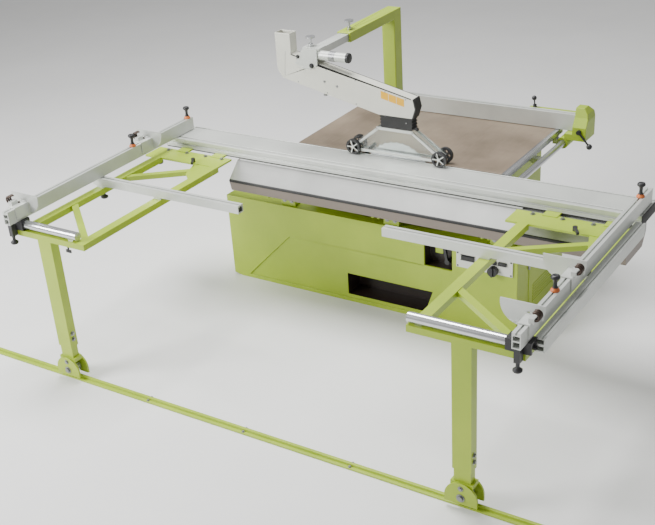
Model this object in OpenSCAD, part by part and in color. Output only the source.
// Sliding-table panel saw on a sheet-metal stand, with two outriggers, crosscut fences,
// rip fence and an overarm blade guard. Millimetres, +Z up.
// The origin lies on the floor under the blade; the table slides along X, the blade plane is Y = 0.

/* [Sliding table] */
// Height of both table surfaces above the floor
table_height = 850; // [760:5:940]
// Length of the sliding table
table_length = 2660; // [2200:20:3200]
// Width of the sliding table
table_width = 198; // [160:2:320]
// Depth of the sliding table's profile
table_thick = 55; // [45:1:80]

/* [Stand] */
// Left end of the stand, measured from the blade centre
stand_left = 1050; // [800:10:1300]
// Right end of the stand, measured from the blade centre
stand_right = 712; // [600:4:900]
// Height of the wide lower stand
stand_height = 500; // [420:10:560]
// Front of the stand, in front of the blade plane
stand_front = 79; // [60:1:120]
// Back of the stand, behind the blade plane
stand_back = 510; // [450:10:640]

/* [Machine table] */
// Length of the cast machine table
machine_table_length = 1166; // [900:2:1300]
// Depth of the cast machine table
machine_table_depth = 695; // [560:5:800]
// Thickness of its rim
machine_table_thick = 38; // [30:1:60]

/* [Outriggers] */
// Reach of the outriggers, from the blade plane to their front face
outrigger_reach = 1398; // [1100:2:1600]
// Width of the left frame over its two beams
left_frame_width = 432; // [400:4:600]
// Width of the right frame over its two beams
right_frame_width = 484; // [400:4:600]
// Left beam of the left frame, from the blade centre
left_frame_x = -1290; // [-1400:10:-1100]
// Left beam of the right frame, from the blade centre
right_frame_x = 830; // [700:10:900]
// Width of the frame tubes
tube_width = 50; // [40:1:70]
// Height of the frame tubes
tube_height = 30; // [24:1:50]
// Length of the panel support bars
support_bar_length = 930; // [700:10:1000]

/* [Crosscut fences] */
// Length of a crosscut fence
fence_length = 1420; // [1100:10:1500]
// Height of the fence profile
fence_height = 67; // [50:1:90]
// Width of the fence profile
fence_width = 35; // [28:1:50]

/* [Rip fence] */
// Length of the rip fence profile
rip_length = 1015; // [800:5:1100]
// Height of the rip fence profile
rip_height = 85; // [60:1:110]

/* [Saw unit and guard] */
// Blade diameter
blade_d = 400; // [315:5:450]
// Depth of the arbor below the table, with the blade fully raised
arbor_depth = 112; // [100:1:160]
// Height of the overarm above the floor
arm_height = 1380; // [1300:5:1500]
// Slope of the extraction hood, down towards the operator
hood_slope = 13; // [5:1:20]

/* [Hidden] */
fit_gap = 0.5;                // sliding gap between two profiles
kiss = 0.3;                   // gap of parts that only touch
blade_gap = 5;                // from the blade plane to each table edge
eps = 1;                      // overshoot of a cut

table_front = -(blade_gap + table_width);
table_bottom = table_height - table_thick;
table_half = table_length / 2;

// support beam under the sliding table
beam_top = table_bottom - 11;
beam_left = -850;
beam_right = table_half - 30;
beam_bottom = stand_height + 140;
beam_ridge_y = table_front - 87;
beam_ridge_z = beam_top - 84;
beam_front_top_y = table_front + 6;
beam_back_y = -22;

// frames
frame_top = table_height - 50;
frame_bottom = frame_top - tube_height;
brace_drop = 3;
frame_front = -outrigger_reach;
frame_back = table_front - 36;
plate_depth = 130;
rod_d = 42;
rod_y = frame_front + rod_d / 2 + 1;
rod_z = frame_top + rod_d / 2 + 5;

// legs and floor rail
leg_w = 84;
leg_d = 50;
leg_y = frame_front + leg_d / 2;
leg_tube_bottom = 188;
leg_x = [left_frame_x + 170, right_frame_x + 228];
rail_rib = 12;
rail_base = 10;
roller_r = 35;
roller_z = rail_base + rail_rib + kiss + roller_r;
rail_length = 4800;
inner_leg_top = frame_bottom - 160;

// crosscut fences
fence_z = table_height + 3;
fence_top = fence_z + fence_height;
fence_back = -45;
fence_x = [left_frame_x, right_frame_x + right_frame_width - fence_width + 8];
pivot_y = [-73, -160];
mid_knob_y = [-539, -1114];
block_y = rod_y;
block_w = [85, 102];
block_x = [fence_x[0] - 40, fence_x[1] - 52];
block_knob_x = [block_x[0] + 30, block_x[1] + 59];
block_knob_y = block_y - 45;

// flip stops; in each pair the left fence comes first
stop_y = [[-1335, -410], [-1318, -920]];
stop_wall = 5;
stop_half = fence_width / 2 + stop_wall + fit_gap;
stop_length = 84;
stop_pivot = [stop_half + 9.5, fence_top - 4];
stop_pivot_r = 5;
stop_plate_r = 88;
stop_plate_z = fence_top + 30;
stop_plate_shift = [-3, -43];

// panel support bars
bar_size = 40;
bar_z = table_height - bar_size;
bar_y = [-812, -745];
bar_x = [left_frame_x - 20, right_frame_x + right_frame_width - 24 - support_bar_length];

// rip fence
guide_x = machine_table_length / 2 + 57;
guide_z = table_height - 55;
guide_r = 17;
guide_slot = 34;
rip_y = machine_table_depth - 6;
rip_w = 42;
rip_z = table_height + 3;
rip_end = guide_x + 47;
lug_y = rip_y + rip_w / 2 + kiss;

// saw unit
blade_r = blade_d / 2;
blade_x = 20;
arbor_z = table_height - arbor_depth;
arbor_r = 15;
motor_x = blade_x + 210;
motor_z = arbor_z - 90;
column_x = [-330, -170];
column_y = 400;
column_r = 15;

// upper stand, narrower than the lower one
upper_left = -machine_table_length / 2 + 60;
upper_right = machine_table_length / 2 - 6;
upper_front = 20;

// overarm and hood
arm_x = -430;
arm_w = 80;
arm_h = 50;
arm_front = 265;
post_y = machine_table_depth + 75;
arm_mid_z = arm_height - arm_h / 2;
screw_r = 6;
screw_tip = 6;
inner_arm_w = 60;
inner_arm_h = 36;
inner_arm_front = 36;
hood_t = 60;
hood_pivot = [arm_x - 10, arm_height - 90];
pin_r = 6;
hood_left = -650;
hood_h = 142;
hood_left_z = 1213;
wheel_r = 40;
wheel_x = [-218, 270];
wheel_z = table_height + wheel_r + 1;
guard_top = 1012;
mouth_left = -66;
mouth_right = 130;
duct_w = 84;
duct_top = 1440;
bellows_bottom = guard_top + 2;
bellows_top = hood_left_z - (mouth_left - hood_left) * tan(hood_slope) - 1;

// control panel and recess
panel_x = 386;
panel_w = 303;
panel_z = 356;
panel_h = 87;
panel_y = -stand_front - 8;
recess_x = 200;
recess_w = 158;
recess_z = 318;
recess_h = 132;

paint = [0.66, 0.74, 0.25];
alu = [0.83, 0.85, 0.84];
dark = [0.12, 0.12, 0.13];
steel = [0.72, 0.73, 0.74];
taupe = [0.60, 0.52, 0.43];
cream = [0.88, 0.88, 0.83];
clear = [0.80, 0.86, 0.84];

// ---------------------------------------------------------------- shared shapes

// box given by its low corner and its size
module block(x, y, z, dx, dy, dz) {
    translate([x, y, z])
        cube([dx, dy, dz]);
}

// rod along X, from x1 to x2
module rod_x(x1, x2, y, z, r, sides = 48) {
    translate([x1, y, z])
        rotate([0, 90, 0])
            cylinder(h = x2 - x1, r = r, $fn = sides);
}

// rod along Y, from y1 to y2
module rod_y(x, y1, y2, z, r, sides = 48) {
    translate([x, y2, z])
        rotate([90, 0, 0])
            cylinder(h = y2 - y1, r = r, $fn = sides);
}

// extrusion along X of a profile drawn as [y, z] points
module profile_x(x1, x2, points) {
    translate([x1, 0, 0])
        rotate([90, 0, 90])
            linear_extrude(x2 - x1)
                polygon(points);
}

// plate standing across Y, drawn as [x, z] points
module plate_y(y1, y2, points) {
    translate([0, y2, 0])
        rotate([90, 0, 0])
            linear_extrude(y2 - y1)
                polygon(points);
}

// mushroom knob standing up from (x, y, z)
module mushroom(x, y, z, stem_r, stem_h, head_r, head_h) {
    translate([x, y, z]) {
        cylinder(h = stem_h + eps, r = stem_r, $fn = 32);
        translate([0, 0, stem_h])
            rotate_extrude($fn = 48)
                polygon([
                    [0, 0],
                    [head_r * 0.55, 0],
                    [head_r, head_h * 0.45],
                    [head_r, head_h * 0.7],
                    [head_r * 0.8, head_h],
                    [0, head_h]
                ]);
    }
}

// ---------------------------------------------------------------- stand

module cabinet() {
    wall = 4;
    relief = 8;
    inner_w = stand_left + stand_right - 2 * wall;
    inner_d = stand_front + stand_back - 2 * wall;
    slot_depth = 130;
    color(paint)
        difference() {
            union() {
                difference() {
                    block(-stand_left, -stand_front, 0, stand_left + stand_right,
                          stand_front + stand_back, stand_height);
                    block(-stand_left + wall, -stand_front + wall + relief, wall, inner_w,
                          inner_d - relief, stand_height - 2 * wall);
                }
                // lined pockets behind the foot slot and the lever recess
                slot_block(wall);
                block(recess_x - wall, -stand_front + wall, recess_z - wall, recess_w + 2 * wall,
                      70 + wall, recess_h + 2 * wall);
            }
            relief_cut(relief);
            plate_y(-stand_front - eps, -stand_front + slot_depth, slot_outline());
            block(recess_x, -stand_front - eps, recess_z, recess_w, 70 + eps, recess_h);
            // open bottom corner at the left foot
            plate_y(-stand_front - eps, stand_back + eps,
                    [[-stand_left - eps, -eps], [-stand_left + 62, -eps], [-stand_left - eps, 12]]);
            // well for the motor, and a slit for the blade, in the top
            block(upper_left + 40, 40, stand_height - wall - eps, upper_right - upper_left - 80,
                  stand_back - 80, wall + 2 * eps);
            block(blade_x - blade_r - 20, -14, stand_height - wall - eps, blade_d + 40, 60,
                  wall + 2 * eps);
        }
    // cam block beside the rise lever
    color(paint)
        block(recess_x + 42, -stand_front + 70 - 25, recess_z + 62, 44, 25 + eps, 46);
}

function slot_outline() = [[-276, 40], [196, 40], [241, 166], [-276, 166]];

module slot_block(wall) {
    plate_y(-stand_front + wall, -stand_front + 130 + wall,
            [[-276 - wall, 40 - wall], [196 + wall, 40 - wall], [245 + wall, 166 + wall],
             [-276 - wall, 166 + wall]]);
}

// shallow step of the front panel, with its slanted left edge
module relief_cut(depth) {
    plate_y(-stand_front - eps, -stand_front + depth,
            [[-940, 22], [300, 22], [300, 316], [-640, 316]]);
}

module upper_stand() {
    wall = 6;
    top = table_height - machine_table_thick;
    h = top - stand_height;
    w = upper_right - upper_left;
    color(paint) {
        difference() {
            block(upper_left, upper_front, stand_height, w, stand_back - upper_front, h);
            block(upper_left + wall, upper_front + wall, stand_height - eps, w - 2 * wall,
                  stand_back - upper_front - 2 * wall, h + 2 * eps);
            // front opening for the arbor and blade
            block(blade_x - 320, upper_front - eps, stand_height + 40, 640, wall + 2 * eps, h - 80);
        }
        // two columns that guide the saw unit up and down
        for (x = column_x) {
            block(x - 30, column_y + 20, stand_height, 60, stand_back - column_y - 22, 10);
            block(x - 30, column_y + 20, top - 10, 60, stand_back - column_y - 22, 10);
            block(x - 30, column_y - 30, stand_height, 60, 60, 10);
            block(x - 30, column_y - 30, top - 10, 60, 60, 10);
            translate([x, column_y, stand_height + 5])
                cylinder(h = h - 10, r = column_r, $fn = 48);
        }
    }
}

module control_panel() {
    color(cream)
        difference() {
            block(panel_x, panel_y, panel_z, panel_w, -stand_front - panel_y, panel_h);
            block(panel_x + 28, panel_y - eps, panel_z + 45, 72, 6 + eps, 24);
            rod_y(panel_x + 205, panel_y - eps, panel_y + 6, panel_z + 20, 8.3);
        }
}

module selector_knob() {
    x = panel_x + 205;
    z = panel_z + 20;
    color(dark) {
        rod_y(x, panel_y - 26, panel_y - kiss, z, 26);
        rod_y(x, panel_y - 2, panel_y + 5, z, 8);
        block(x - 5, panel_y - 34, z - 24, 10, 10, 48);
    }
}

module switch_button() {
    color(dark)
        block(panel_x + 29, panel_y - 7, panel_z + 46, 70, 10, 22);
}

module rise_lever() {
    x = recess_x + 118;
    color(dark) {
        rod_y(x, -stand_front + 22, -stand_front + 70 - kiss, recess_z + 30, 14);
        rotate_about(x, -stand_front + 22, recess_z + 30, [0, -12, 0]) {
            block(-7, 0, 0, 14, 14, 76);
            translate([0, 7, 86])
                sphere(r = 14, $fn = 32);
        }
    }
}

module rotate_about(x, y, z, angles) {
    translate([x, y, z])
        rotate(angles)
            children();
}

module floor_rail() {
    color(paint)
        translate([-50 - rail_length / 2, leg_y, 0]) {
            translate([0, -22, 0])
                cube([rail_length, 44, rail_base]);
            translate([0, -6, 0])
                cube([rail_length, 12, rail_base + rail_rib]);
        }
}

// ---------------------------------------------------------------- support beam

module support_beam() {
    wall = 6;
    outer = [
        [beam_front_top_y, beam_top], [beam_ridge_y, beam_ridge_z],
        [beam_ridge_y + 14, beam_bottom], [-64, beam_bottom], [beam_back_y, beam_bottom + 60],
        [beam_back_y, beam_top]
    ];
    inner = [
        [beam_front_top_y + 4, beam_top - wall], [beam_ridge_y + 9, beam_ridge_z - 2],
        [beam_ridge_y + 21, beam_bottom + wall], [-67, beam_bottom + wall],
        [beam_back_y - wall, beam_bottom + 63], [beam_back_y - wall, beam_top - wall]
    ];
    color(alu) {
        difference() {
            profile_x(beam_left, beam_right, outer);
            profile_x(beam_left + 8, beam_right - 8, inner);
        }
        // cover strip along the ridge
        block(-300, beam_ridge_y - 3, beam_ridge_z - 5, beam_right + 292, 12, 8);
    }
}

module beam_brackets() {
    color(paint)
        for (x = [-680, -40, 560])
            bracket(x);
}

// angle bracket between the stand and the beam, with two levelling screws
module bracket(x) {
    w = 90;
    plate_t = 12;
    face = -stand_front + 14;
    block(x, face, stand_height, w, plate_t, beam_bottom - stand_height);
    block(x, beam_ridge_y + 60, beam_bottom - plate_t, w, face - beam_ridge_y - 54, plate_t);
    block(x, face, stand_height, w, 50, plate_t);
    for (rib = [10, w - 18])
        profile_x(x + rib, x + rib + 8, [
            [face + 1, stand_height + 60],
            [face + 1, beam_bottom - 6],
            [beam_ridge_y + 80, beam_bottom - 6]
        ]);
    for (dx = [28, 62])
        translate([x + dx, beam_ridge_y + 72, beam_bottom - 34])
            cylinder(h = 24, r = 7, $fn = 24);
}

// ---------------------------------------------------------------- machine table and guide

module machine_table() {
    half = machine_table_length / 2;
    rib_bottom = table_height - machine_table_thick;
    table_back = blade_gap + machine_table_depth;
    bay_pitch = (upper_right - upper_left) / 3;
    color(taupe)
        difference() {
            block(-half, blade_gap, rib_bottom, machine_table_length, machine_table_depth,
                  machine_table_thick);
            // relieved underside: one row of bays inside the stand, one row behind it
            for (row = [[upper_front + 8, stand_back - 8], [stand_back + 8, table_back - 16]])
                for (bay = [0 : 2])
                    block(upper_left + 8 + bay * bay_pitch, row[0], rib_bottom - eps,
                          bay_pitch - 16, row[1] - row[0], machine_table_thick - 14);
        }
}

module guide_bar() {
    edge = machine_table_length / 2 + kiss;
    color(steel) {
        rod_y(guide_x, blade_gap, machine_table_depth + 70, guide_z, guide_r, 64);
        // scale bar along the table edge
        block(edge, blade_gap, table_height - 30, 22, machine_table_depth + 20, 30);
        // brackets that carry the bar, inside the slot of the sliding holder
        for (y = [40, machine_table_depth / 2, machine_table_depth - 60]) {
            block(edge, y, guide_z - 12, guide_x - edge, 40, 24);
            block(edge, y, guide_z - 12, 18, 40, table_height - guide_z - 6);
        }
    }
}

// ---------------------------------------------------------------- rip fence

module rip_fence() {
    left = rip_end - rip_length;
    color(alu)
        difference() {
            block(left, rip_y - rip_w / 2, rip_z, rip_length, rip_w, rip_height);
            block(left - eps, rip_y - rip_w / 2 + 5, rip_z + 5, rip_length + 2 * eps, rip_w - 10,
                  rip_height - 24);
            // clamp slot along the top, and one along the back
            block(left - eps, rip_y - 4, rip_z + rip_height - 12, rip_length + 2 * eps, 8, 13);
            block(left - eps, rip_y + rip_w / 2 - 5 - eps, rip_z + 30, rip_length + 2 * eps,
                  6 + 2 * eps, 16);
        }
}

module rip_holder() {
    sleeve_r = guide_r + 13;
    sleeve_y = rip_y - 62;
    sleeve_len = 130;
    casting_top = rip_z + rip_height + 41;
    color(paint) {
        // sleeve on the guide bar, open towards the table so that it passes the brackets
        difference() {
            rod_y(guide_x, sleeve_y, sleeve_y + sleeve_len, guide_z, sleeve_r, 64);
            rod_y(guide_x, sleeve_y - eps, sleeve_y + sleeve_len + eps, guide_z, guide_r + 0.1, 64);
            block(guide_x - sleeve_r - eps, sleeve_y - eps, guide_z - guide_slot / 2 + 3,
                  sleeve_r, sleeve_len + 2 * eps, guide_slot - 6);
        }
        // neck and upright casting, stepped up towards the back
        block(guide_x + 8, sleeve_y, guide_z + guide_r + 4, rip_end + 67 - guide_x, sleeve_len,
              table_height - guide_z - guide_r - 4);
        intersection() {
            profile_x(rip_end + 2, rip_end + 75, [
                [sleeve_y, table_height - 10], [sleeve_y + sleeve_len, table_height - 10],
                [sleeve_y + sleeve_len, table_height + 96], [rip_y + 34, casting_top],
                [rip_y - 20, casting_top], [rip_y - 34, rip_z + rip_height - 6],
                [sleeve_y, rip_z + 34]
            ]);
            // slanted outer corner
            plate_y(sleeve_y - eps, sleeve_y + sleeve_len + eps, [
                [rip_end, table_height - 20], [rip_end + 80, table_height - 20],
                [rip_end + 75, casting_top - 60], [rip_end + 68, casting_top - 28],
                [rip_end + 48, casting_top + eps], [rip_end, casting_top + eps]
            ]);
        }
        // clamp plate behind the profile
        block(rip_end - 270, lug_y, rip_z + 6, 274, 22, rip_height - 6);
    }
}

module rip_lever_top() {
    x = rip_end - 242;
    y = lug_y + 11;
    z = rip_z + rip_height + kiss;
    color(dark) {
        translate([x, y, z])
            cylinder(h = 12, r = 10, $fn = 32);
        translate([x, y, z + 6])
            rotate([14, 0, 0])
                cylinder(h = 40, r = 4, $fn = 24);
        translate([x, y - 10, z + 50])
            sphere(r = 13, $fn = 32);
    }
}

module rip_lever_side() {
    y = rip_y - 62 - kiss;
    x = rip_end + 40;
    z = table_height + 16;
    color(dark) {
        rod_y(x, y - 14, y, z, 12);
        translate([x, y - 8, z])
            rotate([0, 138, 0])
                cylinder(h = 90, r = 5, $fn = 24);
        translate([x + 60, y - 8, z - 68])
            sphere(r = 15, $fn = 32);
    }
}

// ---------------------------------------------------------------- sliding table

module sliding_table() {
    color(alu)
        difference() {
            block(-table_half, table_front, table_bottom, table_length, table_width, table_thick);
            // clamping slots along the top
            for (y = [table_front + 24, -blade_gap - 16])
                block(-table_half - eps, y, table_height - 9, table_length + 2 * eps, 9, 10);
            for (y = [table_front + 20, -blade_gap - 20])
                block(-table_half - eps, y, table_height - 15, table_length + 2 * eps, 17, 7);
            // slot along the front edge, for the outriggers
            block(-table_half - eps, table_front - eps, table_bottom + 22, table_length + 2 * eps,
                  11, 12);
            // hollow chambers
            for (bay = [0:2])
                block(-table_half + 20, table_front + 16 + bay * (table_width - 32) / 3 + 4,
                      table_bottom + 8, table_length - 40, (table_width - 32) / 3 - 8,
                      table_thick - 28);
        }
}

module roller_cage() {
    cage_left = beam_left + 20;
    cage_right = 780;
    pitch = 110;
    color(cream) {
        block(cage_left, table_front + 2, beam_top + 2, cage_right - cage_left, table_width - 24, 7);
        for (x = [cage_left + 30 : pitch : cage_right - 20])
            rod_y(x, table_front + 2, -blade_gap - 22, beam_top + 5.5, 5, 24);
    }
}

// ---------------------------------------------------------------- outriggers

// welded frame with its front leg tube; x is the outside of the left beam and lip is how far the
// front member runs past it
module outrigger(x, width, lip, leg_centre) {
    right = x + width - tube_width;
    back = frame_back - plate_depth;
    beam_length = back - frame_front + 10;
    plate_lip = 60;
    plate_t = 10;
    leg_wall = 4;
    color(paint) {
        difference() {
            union() {
                for (beam_x = [x, right])
                    block(beam_x, frame_front, frame_bottom, tube_width, beam_length, tube_height);
                block(x - lip, frame_front, frame_bottom, width + lip, tube_width, tube_height);
                block(x - plate_lip, back, frame_top - plate_t, width + plate_lip, plate_depth,
                      plate_t);
                brace(x + tube_width / 2, frame_front + 370, right + 20, frame_front + 48);
                brace(x + tube_width / 2, back - 290, right + 22, back - 10);
                gusset(right + 10, back);
                block(leg_centre - leg_w / 2, frame_front, leg_tube_bottom, leg_w, leg_d,
                      frame_bottom - leg_tube_bottom + 1);
            }
            block(leg_centre - leg_w / 2 + leg_wall, frame_front + leg_wall,
                  leg_tube_bottom - eps, leg_w - 2 * leg_wall, leg_d - 2 * leg_wall,
                  frame_bottom - leg_tube_bottom - 20);
        }
        // two flat tongues that reach to the table's front edge
        for (tongue = [70, width - 130])
            block(x + tongue, frame_back - 20, frame_top - 5, 70,
                  table_front - frame_back + 20 - kiss, 8);
    }
}

// corner plate between the back plate and the right beam
module gusset(x, back) {
    translate([0, 0, frame_top - 12])
        linear_extrude(12 - brace_drop)
            polygon([[x, back + 6], [x - 115, back + 6], [x - 72, back - 125], [x, back - 195]]);
}

// flat tube from (x1, y1) to (x2, y2) between the beams
module brace(x1, y1, x2, y2) {
    w = 34;
    run = [x2 - x1, y2 - y1];
    len = norm(run);
    translate([x1, y1, frame_bottom + brace_drop])
        rotate([0, 0, atan2(run[1], run[0])])
            translate([0, -w / 2, 0])
                cube([len, w, tube_height - 2 * brace_drop]);
}

module frame_left() {
    outrigger(left_frame_x, left_frame_width, 35, leg_x[0]);
}

module frame_right() {
    outrigger(right_frame_x, right_frame_width, 6, leg_x[1]);
}

// round slide bar on two saddles
module slide_rod(x1, x2) {
    color(steel) {
        rod_x(x1, x2, rod_y, rod_z, rod_d / 2, 64);
        for (x = [x1 + 30, x2 - 60])
            block(x, rod_y - 8, frame_top, 30, 16, 14);
    }
}

module rod_left() {
    slide_rod(left_frame_x - 50, left_frame_x + left_frame_width - tube_width);
}

module rod_right() {
    slide_rod(right_frame_x - 5, right_frame_x + right_frame_width + 6);
}

// eccentric lever that clamps a frame to the table
module clamp_lever(x) {
    y = frame_back - 112;
    color(dark) {
        translate([x, y, frame_top + kiss])
            cylinder(h = 20, r = 11, $fn = 32);
        translate([x, y, frame_top + 8])
            rotate([0, 0, -58])
                translate([0, -6, 0])
                    cube([62, 12, 12]);
    }
}

module clamp_lever_left() {
    clamp_lever(left_frame_x + 260);
}

module clamp_lever_right() {
    clamp_lever(right_frame_x + 260);
}

// telescoping inner leg, with a fork that straddles the floor rail
module inner_leg(x) {
    inside = 26;
    low = 118;
    clear_wall = 4 + fit_gap;
    color(paint) {
        block(x - leg_w / 2 + clear_wall, frame_front + clear_wall, low, leg_w - 2 * clear_wall,
              leg_d - 2 * clear_wall, inner_leg_top - low);
        fork_cheek(x, leg_y - inside - 10);
        fork_cheek(x, leg_y + inside);
        block(x - 50, leg_y - inside - 1, low - 10, 100, 2 * inside + 2, 20);
    }
}

// round-topped cheek of the fork, from y to y + 10, with the hole of the roller's axle
module fork_cheek(x, y) {
    cheek_w = 146;
    cheek_low = 26;
    straight = 30;
    translate([x, y + 10, cheek_low])
        rotate([90, 0, 0])
            linear_extrude(10)
                difference() {
                    union() {
                        translate([-cheek_w / 2, 0])
                            square([cheek_w, straight]);
                        translate([0, straight])
                            circle(r = cheek_w / 2, $fn = 96);
                    }
                    translate([0, roller_z - cheek_low])
                        circle(r = 8.05, $fn = 32);
                    // the circle's lower half would reach below the cheek
                    translate([-cheek_w, -cheek_w])
                        square([2 * cheek_w, cheek_w]);
                }
}

module inner_leg_left() {
    inner_leg(leg_x[0]);
}

module inner_leg_right() {
    inner_leg(leg_x[1]);
}

module foot_roller(x) {
    half = 22;
    color(steel) {
        rod_y(x, leg_y - half, leg_y + half, roller_z, roller_r, 64);
        rod_y(x, leg_y - 40, leg_y + 40, roller_z, 8, 32);
    }
}

module foot_roller_left() {
    foot_roller(leg_x[0]);
}

module foot_roller_right() {
    foot_roller(leg_x[1]);
}

// slotted profile that carries the panel, standing on two pads
module support_bar(x, y) {
    color(alu)
        difference() {
            block(x, y - bar_size / 2, bar_z, support_bar_length, bar_size, bar_size);
            block(x - eps, y - bar_size / 2 + 4, bar_z + 5, support_bar_length + 2 * eps,
                  bar_size - 8, bar_size - 14);
            block(x - eps, y - 4, bar_z + bar_size - 10, support_bar_length + 2 * eps, 8, 11);
        }
}

// pads under a bar, over the beams of its frame
module bar_pads(frame_x, width, y) {
    color(alu)
        for (x = [frame_x + 3, frame_x + width - tube_width + 3])
            block(x, y - bar_size / 2, frame_top + kiss, 44, bar_size, bar_z - frame_top - kiss);
}

module support_bar_left() {
    support_bar(bar_x[0], bar_y[0]);
    bar_pads(left_frame_x, left_frame_width, bar_y[0]);
}

module support_bar_right() {
    support_bar(bar_x[1], bar_y[1]);
    bar_pads(right_frame_x, right_frame_width, bar_y[1]);
}

// ---------------------------------------------------------------- crosscut fences

module crosscut_fence(x) {
    front = fence_back - fence_length;
    color(alu)
        difference() {
            block(x, front, fence_z, fence_width, fence_length, fence_height);
            // two chambers and the slots in the top and the working face
            block(x + 4, front - eps, fence_z + 5, fence_width - 8, fence_length + 2 * eps,
                  fence_height / 2 - 10);
            block(x + 4, front - eps, fence_z + fence_height / 2, fence_width - 8,
                  fence_length + 2 * eps, fence_height / 2 - 14);
            block(x + fence_width / 2 - 4, front - eps, fence_top - 10, 8,
                  fence_length + 2 * eps, 11);
        }
}

module fence_left() {
    crosscut_fence(fence_x[0]);
}

module fence_right() {
    crosscut_fence(fence_x[1]);
}

// lower rail outside the right frame
module side_rail() {
    x = right_frame_x + right_frame_width + 10;
    front = frame_front + 54;
    len = frame_back - 19 - front;
    color(alu) {
        difference() {
            block(x, front, frame_top - 12, 40, len, table_height - frame_top + 10);
            for (z = [frame_top - 6, frame_top + 22])
                block(x + 5, front - eps, z, 30, len + 2 * eps, 18);
            block(x + 26, front - eps, table_height - 8, 7, len + 2 * eps, 9);
        }
        for (y = [front + 90, front + len - 130])
            block(x - 10 + kiss, y, frame_top - 30, 20, 40, 24);
    }
}

// block that carries a fence end along the slide rod, with a lug for its clamp knob
module fence_block(x, width, knob_x) {
    lug_w = 24;
    lug_low = frame_top - 26;
    color(dark)
        difference() {
            union() {
                block(x, block_y - 28, frame_top + 2, width, 56, table_height - frame_top);
                block(knob_x - lug_w / 2, block_knob_y - 12, lug_low, lug_w, 32, 60);
            }
            rod_x(x - eps, x + width + eps, block_y, rod_z, rod_d / 2 + kiss, 64);
            block(x - eps, block_y - 15, frame_top - 30, width + 2 * eps, 30, 40);
            translate([knob_x, block_knob_y, lug_low - eps])
                cylinder(h = 34, r = screw_r + 0.05, $fn = 32);
        }
}

module block_left() {
    fence_block(block_x[0], block_w[0], block_knob_x[0]);
}

module block_right() {
    fence_block(block_x[1], block_w[1], block_knob_x[1]);
}

// knob that hangs under its lug
module block_knob(x) {
    color(dark)
        translate([x, block_knob_y, frame_top - 26 - kiss])
            mirror([0, 0, 1]) {
                translate([0, 0, -30])
                    cylinder(h = 32, r = screw_r, $fn = 32);
                mushroom(0, 0, 0, 10, 26, 19, 16);
            }
}

module block_knob_left() {
    block_knob(block_knob_x[0]);
}

module block_knob_right() {
    block_knob(block_knob_x[1]);
}

// places a stop on fence side (0 left, 1 right): its children are drawn with the fence's middle
// at X = 0 and the stop's pivot on the +X side
module on_fence(side, y) {
    translate([fence_x[side] + fence_width / 2, y, 0])
        mirror([1 - side, 0, 0])
            children();
}

// saddle that slides on a fence and carries a flip stop and its curled clamp
module stop_slide() {
    low = fence_z + 14;
    top = fence_top + fit_gap + stop_wall;
    inner = fence_width / 2 + fit_gap;
    color(alu) {
        difference() {
            union() {
                block(-stop_half, -stop_length, low, 2 * stop_half, stop_length, top - low);
                block(stop_half - 12, -stop_length + 14, fence_top + 2, 22, 40, 22);
                // lug of the stop's pivot
                block(stop_half - 2, -12, stop_pivot[1] - 8, 20, 12, 16);
            }
            block(-inner, -stop_length - eps, fence_z, 2 * inner, stop_length + 2 * eps,
                  fence_height + fit_gap);
        }
        rod_y(stop_pivot[0], -12, 12, stop_pivot[1], stop_pivot_r, 32);
        // three turns of the curled clamp
        for (turn = [22 : 12 : 46])
            translate([stop_half + 10, -stop_length + turn, fence_top + 30])
                rotate([90, 0, 0])
                    rotate([0, 0, -110])
                        rotate_extrude(angle = 230, $fn = 48)
                            translate([16, 0])
                                circle(r = 4, $fn = 24);
    }
}

module stop_slide_left_1() {
    on_fence(0, stop_y[0][0])
        stop_slide();
}

module stop_slide_left_2() {
    on_fence(0, stop_y[0][1])
        stop_slide();
}

module stop_slide_right_1() {
    on_fence(1, stop_y[1][0])
        stop_slide();
}

module stop_slide_right_2() {
    on_fence(1, stop_y[1][1])
        stop_slide();
}

// half-round stop astride the fence, flat edge up; it swings up about the saddle's pivot
module stop_plate(side) {
    r = stop_plate_r;
    thick = 5;
    clear = 2.5;
    hub_r = 9;
    notch_top = fence_top + fit_gap + stop_wall + clear;
    color(alu)
        translate([0, 2 + thick, 0])
            rotate([90, 0, 0])
                linear_extrude(thick)
                    difference() {
                        intersection() {
                            translate([stop_plate_shift[side], stop_plate_z])
                                circle(r = r, $fn = 96);
                            translate([-3 * r, stop_plate_z - 2 * r])
                                square([6 * r, 2 * r + 12]);
                        }
                        // room for the fence and its saddle
                        translate([-stop_half - clear, notch_top - 2 * r])
                            square([2 * (stop_half + clear), 2 * r]);
                        // nothing hangs below the pivot's hub, so that the stop can swing
                        translate([stop_half, stop_pivot[1] - hub_r - 2 * r])
                            square([2 * r, 2 * r]);
                        translate(stop_pivot)
                            circle(r = stop_pivot_r + 0.1, $fn = 32);
                    }
}

module stop_plate_left_1() {
    on_fence(0, stop_y[0][0])
        stop_plate(0);
}

module stop_plate_left_2() {
    on_fence(0, stop_y[0][1])
        stop_plate(0);
}

module stop_plate_right_1() {
    on_fence(1, stop_y[1][0])
        stop_plate(1);
}

module stop_plate_right_2() {
    on_fence(1, stop_y[1][1])
        stop_plate(1);
}

// clamp knob on top of a fence, over a flat collar
module fence_knob(x, y) {
    color(dark)
        translate([x + fence_width / 2, y, fence_top + kiss]) {
            cylinder(h = 10, r = 16, $fn = 48);
            mushroom(0, 0, 9, 9, 44, 18, 14);
        }
}

module pivot_knob_left() {
    fence_knob(fence_x[0], pivot_y[0]);
}

module pivot_knob_right() {
    fence_knob(fence_x[1], pivot_y[1]);
}

module mid_knob_left() {
    fence_knob(fence_x[0], mid_knob_y[0]);
}

module mid_knob_right() {
    fence_knob(fence_x[1], mid_knob_y[1]);
}

// ---------------------------------------------------------------- overarm guard

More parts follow.
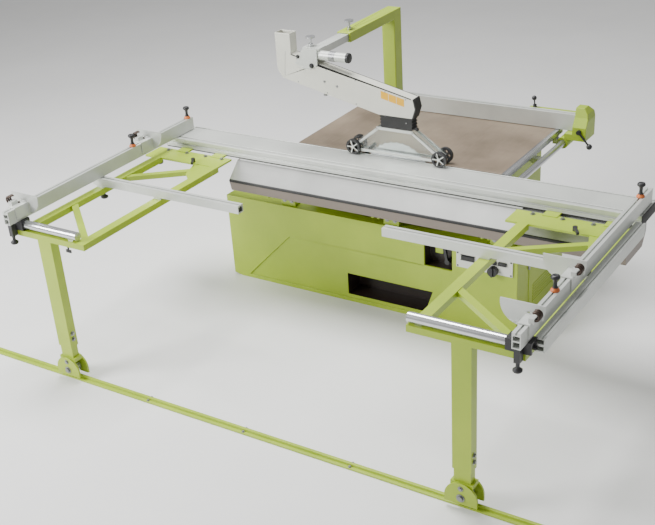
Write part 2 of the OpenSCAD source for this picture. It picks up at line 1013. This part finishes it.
module overarm() {
    color(paint)
        difference() {
            union() {
                block(arm_x - arm_w / 2, post_y - arm_w / 2, 420, arm_w, arm_w,
                      arm_height - 420);
                block(arm_x - arm_w / 2, arm_front, arm_height - arm_h, arm_w,
                      post_y - arm_front + arm_w / 2, arm_h);
                // foot plates bolted to the back of the stand
                block(arm_x - arm_w / 2, stand_back + kiss, 430, arm_w, post_y - stand_back - 20,
                      60);
                block(arm_x - arm_w / 2 - 30, stand_back + kiss, 410, arm_w + 60, 10, 84);
            }
            block(arm_x - inner_arm_w / 2 - fit_gap, arm_front - eps,
                  arm_height - arm_h / 2 - inner_arm_h / 2 - fit_gap, inner_arm_w + 2 * fit_gap,
                  post_y - arm_front - arm_w, inner_arm_h + 2 * fit_gap);
            translate([arm_x, arm_front + 60, arm_height - 12])
                cylinder(h = 20, r = screw_r + 0.05, $fn = 32);
        }
}

// clamp screw with a flat round handle, through the face at z
module clamp_screw(x, y, z) {
    color(steel)
        translate([x, y, z]) {
            translate([0, 0, -screw_tip])
                cylinder(h = 50, r = screw_r, $fn = 32);
            translate([0, 0, kiss])
                cylinder(h = 12, r = 12, $fn = 32);
            translate([0, 0, 42])
                cylinder(h = 8, r = 24, $fn = 48);
        }
}

module arm_screw() {
    clamp_screw(arm_x, arm_front + 60, arm_height);
}

module hood_screw() {
    clamp_screw(arm_x - 40, inner_arm_front - 22, arm_mid_z + inner_arm_h / 2 + 2);
}

module inner_arm() {
    mid_z = arm_mid_z;
    head_top = mid_z + inner_arm_h / 2 + 2;
    color(alu) {
        difference() {
            union() {
                block(arm_x - inner_arm_w / 2, inner_arm_front, mid_z - inner_arm_h / 2,
                      inner_arm_w, 500, inner_arm_h);
                // head block over the hood
                block(arm_x - 70, -20, mid_z - 20, 100, 62, head_top - mid_z + 20);
            }
            translate([arm_x - 40, inner_arm_front - 22, head_top - screw_tip - 3])
                cylinder(h = 30, r = screw_r + 0.05, $fn = 32);
        }
        // side plates down to the hood pivot
        for (y = [hood_t / 2 + 1, -hood_t / 2 - 7])
            plate_y(y, y + 6, [
                [arm_x - 110, mid_z - 60], [arm_x - 60, mid_z + 18], [arm_x + 24, mid_z + 18],
                [arm_x + 24, mid_z - 60], [arm_x - 20, mid_z - 84], [arm_x - 60, mid_z - 84]
            ]);
        block(arm_x - 58, -hood_t / 2 - 4, mid_z - 20, 80, hood_t + 8, 30);
        // pin the hood swings on
        rod_y(hood_pivot[0], -hood_t / 2 - 7, hood_t / 2 + 7, hood_pivot[1], pin_r, 32);
        // balance cylinder
        rod_x(arm_x - 20, arm_x + 196, -6, mid_z - 16, 24, 48);
    }
}

module hood() {
    wall = 3;
    color(cream)
        difference() {
            hood_solid();
            hood_hollow(wall);
            rod_y(hood_pivot[0], -hood_t / 2 - eps, hood_t / 2 + eps, hood_pivot[1], pin_r + 0.1, 32);
        }
}

function hood_bottom_z(x) = hood_left_z - (x - hood_left) * tan(hood_slope);

function hood_top_z(x) = hood_bottom_z(x) + hood_h;

module hood_solid() {
    plate_y(-hood_t / 2, hood_t / 2, [
        [hood_left + 18, hood_left_z - 4], [mouth_left, hood_bottom_z(mouth_left)],
        [mouth_right - 4, hood_bottom_z(mouth_left)], [mouth_right + 12, hood_bottom_z(mouth_left) + 50],
        [mouth_right, hood_top_z(mouth_right)], [hood_left + duct_w, hood_top_z(hood_left + duct_w)],
        [hood_left + duct_w, duct_top], [hood_left - 8, duct_top], [hood_left - 8, hood_left_z + 40]
    ]);
}

module hood_hollow(wall) {
    plate_y(-hood_t / 2 + wall, hood_t / 2 - wall, [
        [hood_left + 18, hood_left_z], [mouth_left + wall, hood_bottom_z(mouth_left) + wall],
        [mouth_left + wall, hood_bottom_z(mouth_left) - eps],
        [mouth_right - 8, hood_bottom_z(mouth_left) - eps],
        [mouth_right + 8, hood_bottom_z(mouth_left) + 50],
        [mouth_right - wall, hood_top_z(mouth_right) - wall],
        [hood_left + duct_w - wall, hood_top_z(hood_left + duct_w) - wall],
        [hood_left + duct_w - wall, duct_top + eps], [hood_left - 8 + wall, duct_top + eps],
        [hood_left - 8 + wall, hood_left_z + 42]
    ]);
}

module bellows() {
    folds = 4;
    pitch = (bellows_top - bellows_bottom) / folds;
    color(dark)
        difference() {
            for (i = [0 : folds - 1])
                plate_y(-26, 26, [
                    [mouth_left + 12, bellows_bottom + i * pitch],
                    [mouth_right - 14, bellows_bottom + i * pitch],
                    [mouth_right - 6, bellows_bottom + (i + 0.5) * pitch],
                    [mouth_right - 14, bellows_bottom + (i + 1) * pitch],
                    [mouth_left + 12, bellows_bottom + (i + 1) * pitch],
                    [mouth_left + 4, bellows_bottom + (i + 0.5) * pitch]
                ]);
            block(mouth_left + 16, -20, bellows_bottom - eps, mouth_right - mouth_left - 34, 40,
                  bellows_top - bellows_bottom + 2 * eps);
        }
}

module guard() {
    low = table_height + 16;
    wall = 4;
    color(clear)
        difference() {
            plate_y(-24, 24, [
                [-188, low], [244, low], [wheel_x[1] + 12, wheel_z - 8],
                [wheel_x[1] + 10, wheel_z + 12], [118, guard_top], [-80, guard_top],
                [wheel_x[0] - 10, wheel_z + 12], [wheel_x[0] - 12, wheel_z - 8]
            ]);
            plate_y(-24 + wall, 24 - wall, [
                [-188 + wall, low - eps], [244 - wall, low - eps], [wheel_x[1] + 2, wheel_z - 8],
                [wheel_x[1] + 2, wheel_z + 8], [110, guard_top - wall], [-72, guard_top - wall],
                [wheel_x[0] - 2, wheel_z + 8], [wheel_x[0] - 2, wheel_z - 8]
            ]);
            for (x = wheel_x)
                rod_y(x, -25, 25, wheel_z, 5.1, 32);
        }
}

// two spoked wheels on one axle, outside the guard
module guard_wheels(x) {
    color(dark) {
        rod_y(x, -42, 42, wheel_z, 5, 32);
        for (y = [-42, 26])
            translate([x, y + 16, wheel_z])
                rotate([90, 0, 0])
                    linear_extrude(16)
                        difference() {
                            circle(r = wheel_r, $fn = 64);
                            for (spoke = [0 : 4])
                                rotate(spoke * 72)
                                    translate([21, 0])
                                        circle(r = 9, $fn = 24);
                        }
    }
}

module guard_wheel_back() {
    guard_wheels(wheel_x[0]);
}

module guard_wheel_front() {
    guard_wheels(wheel_x[1]);
}

// ---------------------------------------------------------------- saw unit

module saw_unit() {
    plate_front = 90;
    plate_back = 120;
    carriage_z = arbor_z - 90;
    color(dark) {
        difference() {
            union() {
                // arbor housing, motor and the plate that joins them
                rod_y(blade_x, 34, 170, arbor_z, 42, 48);
                rod_y(motor_x, 214, 400, motor_z, 88, 64);
                rod_y(motor_x, 176, 215, motor_z, 12, 32);
                rod_y(motor_x, 180, 206, motor_z, 45, 48);
                plate_y(plate_front, plate_back, [
                    [blade_x - 60, arbor_z - 30], [blade_x - 20, arbor_z + 34],
                    [blade_x + 40, arbor_z + 20], [motor_x + 60, motor_z - 60],
                    [motor_x + 60, motor_z - 104], [motor_x - 60, motor_z - 104]
                ]);
                block(motor_x - 60, plate_front, motor_z - 104, 120, 290, 26);
                // carriage on the two columns
                block(column_x[0] - 40, column_y - 60, carriage_z,
                      column_x[1] - column_x[0] + 80, 90, 80);
                block(column_x[1] - 30, plate_front, carriage_z, 60, column_y - plate_front - 55, 60);
                block(column_x[1] - 30, plate_front, carriage_z, blade_x - column_x[1], 30, 60);
            }
            rod_y(blade_x, 30, 172, arbor_z, arbor_r + 0.05, 48);
            for (x = column_x)
                translate([x, column_y, carriage_z - eps])
                    cylinder(h = 82, r = column_r + 0.1, $fn = 48);
        }
        riving_knife();
    }
}

// curved splitter behind the blade, with its arm to the carriage
module riving_knife() {
    inner_r = blade_r + 4;
    outer_r = blade_r + 22;
    translate([blade_x, 1.2, arbor_z])
        rotate([90, 0, 0])
            linear_extrude(2.4)
                intersection() {
                    difference() {
                        circle(r = outer_r, $fn = 96);
                        circle(r = inner_r, $fn = 96);
                    }
                    polygon([[0, 0], [-outer_r * 0.9, outer_r * 1.25], [-outer_r * 1.6, 0],
                             [-outer_r * 1.2, -outer_r * 0.22]]);
                }
    block(blade_x - outer_r, -1.2, arbor_z - 24, 18, 92, 20);
    block(blade_x - outer_r, 70, arbor_z - 90, 18, 50, 86);
}

module saw_blade() {
    teeth = 36;
    color(steel) {
        translate([blade_x, 1.6, arbor_z])
            rotate([90, 0, 0])
                linear_extrude(3.2)
                    union() {
                        circle(r = blade_r - 8, $fn = 96);
                        for (i = [0 : teeth - 1])
                            rotate(i * 360 / teeth)
                                translate([blade_r - 14, -4])
                                    polygon([[0, 0], [14, 5], [12, 10], [0, 16]]);
                    }
        rod_y(blade_x, -8, 10, arbor_z, 55, 64);
        rod_y(blade_x, -14, 215, arbor_z, arbor_r, 48);
        rod_y(blade_x, 180, 206, arbor_z, 45, 48);
    }
}

module drive_belt() {
    color(dark)
        translate([0, 203, 0])
            rotate([90, 0, 0])
                linear_extrude(20)
                    belt_loop();
}

module belt_loop() {
    dx = motor_x - blade_x;
    dz = motor_z - arbor_z;
    len = norm([dx, dz]);
    ang = atan2(dz, dx);
    translate([blade_x, arbor_z])
        rotate(ang)
            difference() {
                belt_outline(len, 50.5);
                belt_outline(len, 45.5);
            }
}

module belt_outline(len, r) {
    circle(r = r, $fn = 64);
    translate([len, 0])
        circle(r = r, $fn = 64);
    translate([0, -r])
        square([len, 2 * r]);
}

cabinet();
upper_stand();
control_panel();
selector_knob();
switch_button();
rise_lever();
support_beam();
beam_brackets();
machine_table();
guide_bar();
floor_rail();
overarm();
arm_screw();
sliding_table();
roller_cage();
frame_left();
frame_right();
rod_left();
rod_right();
clamp_lever_left();
clamp_lever_right();
inner_leg_left();
inner_leg_right();
foot_roller_left();
foot_roller_right();
support_bar_left();
support_bar_right();
fence_left();
fence_right();
side_rail();
block_left();
block_right();
block_knob_left();
block_knob_right();
stop_slide_left_1();
stop_slide_left_2();
stop_slide_right_1();
stop_slide_right_2();
stop_plate_left_1();
stop_plate_left_2();
stop_plate_right_1();
stop_plate_right_2();
pivot_knob_left();
pivot_knob_right();
mid_knob_left();
mid_knob_right();
rip_fence();
rip_holder();
rip_lever_top();
rip_lever_side();
inner_arm();
hood();
hood_screw();
bellows();
guard();
guard_wheel_back();
guard_wheel_front();
saw_unit();
saw_blade();
drive_belt();
